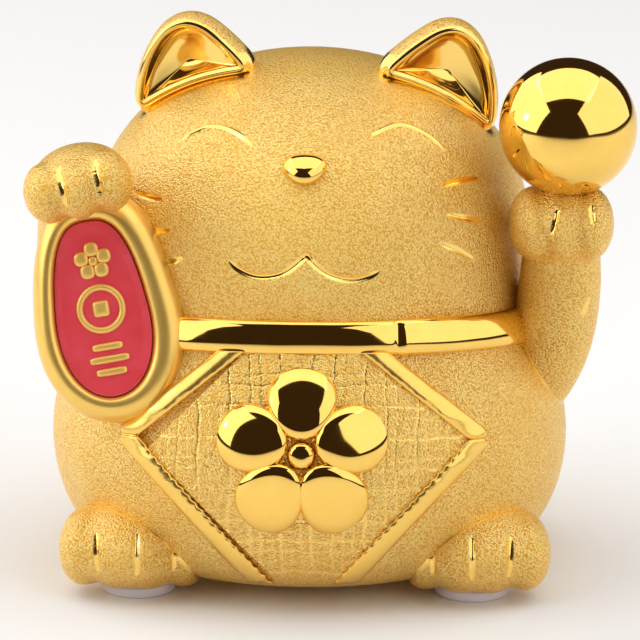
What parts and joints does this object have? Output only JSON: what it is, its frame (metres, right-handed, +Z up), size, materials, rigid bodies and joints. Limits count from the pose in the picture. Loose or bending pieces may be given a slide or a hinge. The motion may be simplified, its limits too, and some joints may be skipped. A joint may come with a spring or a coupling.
{
  "type": "cat figurine",
  "caption": "Seated beckoning cat figurine in gold-plated ceramic, holding an oval coin in one paw and a mirror ball on the other, with a collar, a bib and a base stopper.",
  "frame": {"origin": "centre of the drain hole, at the level of the ground that the pads stand on", "axes": "+Z up, the cat faces -Y, +X towards the cat's left side"},
  "size_m": [0.158, 0.1288, 0.1475],
  "materials": {
    "pebbled_gold": "gold-plated ceramic with a fine pebbled, frosted grain",
    "polished_gold": "gold-plated ceramic, mirror polished",
    "red_enamel": "glossy red enamel",
    "white_pad": "soft white pad, matt",
    "stopper_rubber": "translucent white soft rubber, matt"
  },
  "bodies": {
    "cat": {"body_shell": "pebbled_gold", "right_ear": "pebbled_gold", "left_ear": "pebbled_gold", "nose": "polished_gold", "right_arm": "pebbled_gold", "left_arm": "pebbled_gold", "ball": "polished_gold", "coin_rim": "polished_gold", "coin_enamel": "red_enamel", "coin_relief": "polished_gold", "right_foot": "pebbled_gold", "left_foot": "pebbled_gold", "collar_band": "polished_gold", "collar_bow": "polished_gold", "bib_cloth": "pebbled_gold", "bib_trim": "polished_gold", "bib_blossom": "polished_gold", "tail": "pebbled_gold", "foot_pads": "white_pad"},
    "stopper": {"base_stopper": "stopper_rubber"}
  },
  "joints": [
    {"name": "stopper_pull", "type": "slide", "parent": "cat", "child": "stopper", "axis": [0, 0, -1], "range_m": [0, 0.012]}
  ]
}
